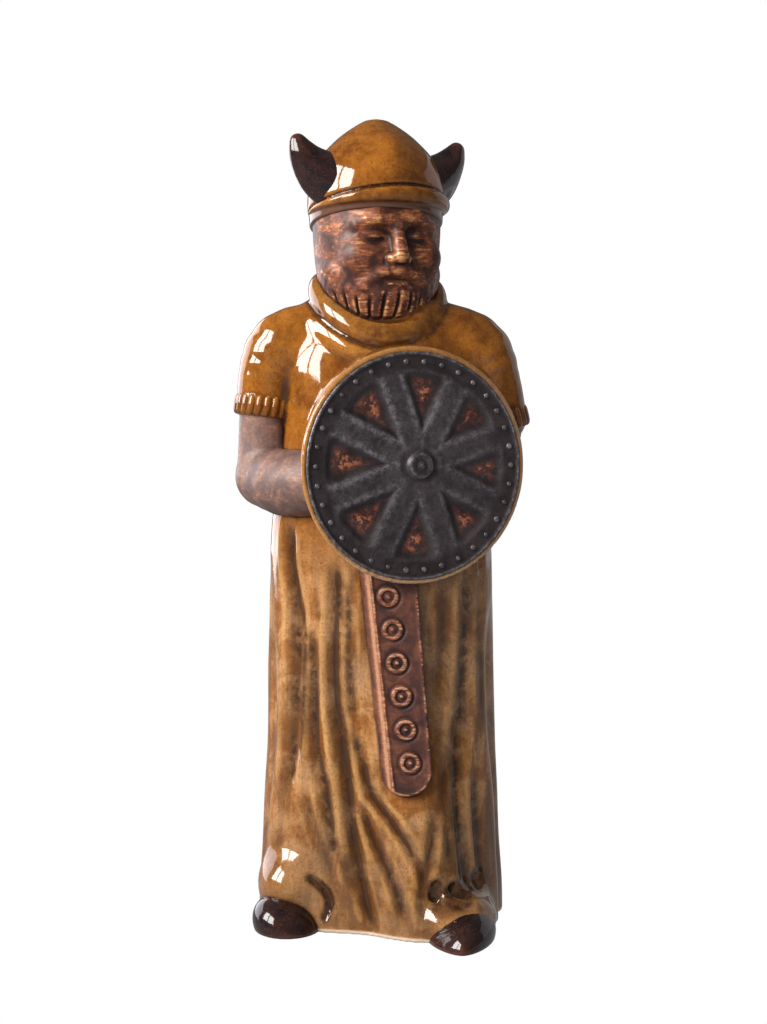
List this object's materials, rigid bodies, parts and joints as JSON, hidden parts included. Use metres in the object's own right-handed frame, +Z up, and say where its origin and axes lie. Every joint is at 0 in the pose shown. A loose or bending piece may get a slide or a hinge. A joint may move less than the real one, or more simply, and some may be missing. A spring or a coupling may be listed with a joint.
{
  "type": "viking warrior figurine",
  "caption": "Standing ceramic Viking in a long robe and horned helmet, holding a round spoked shield in front, with an ornamented scabbard hanging below it; rests on its flat underside.",
  "frame": {"origin": "on the flat underside, below the body's axis", "axes": "+Z up along the body, -Y out of the front, +X to the warrior's own left"},
  "size_m": [0.0937, 0.0721, 0.25],
  "materials": {
    "amber_glaze": "glossy honey and amber glaze over stoneware, mottled, pooling dark in the folds",
    "dark_glaze": "glossy brown-black glaze on the horns and shoes",
    "bronzed_clay": "satin dark umber wash with rubbed copper and tan highlights on bare clay",
    "gunmetal_clay": "satin gunmetal brown-black wash on the shield's face, copper-red in its panels"
  },
  "bodies": {
    "root": {"viking_figure": "amber_glaze"}
  },
  "joints": []
}
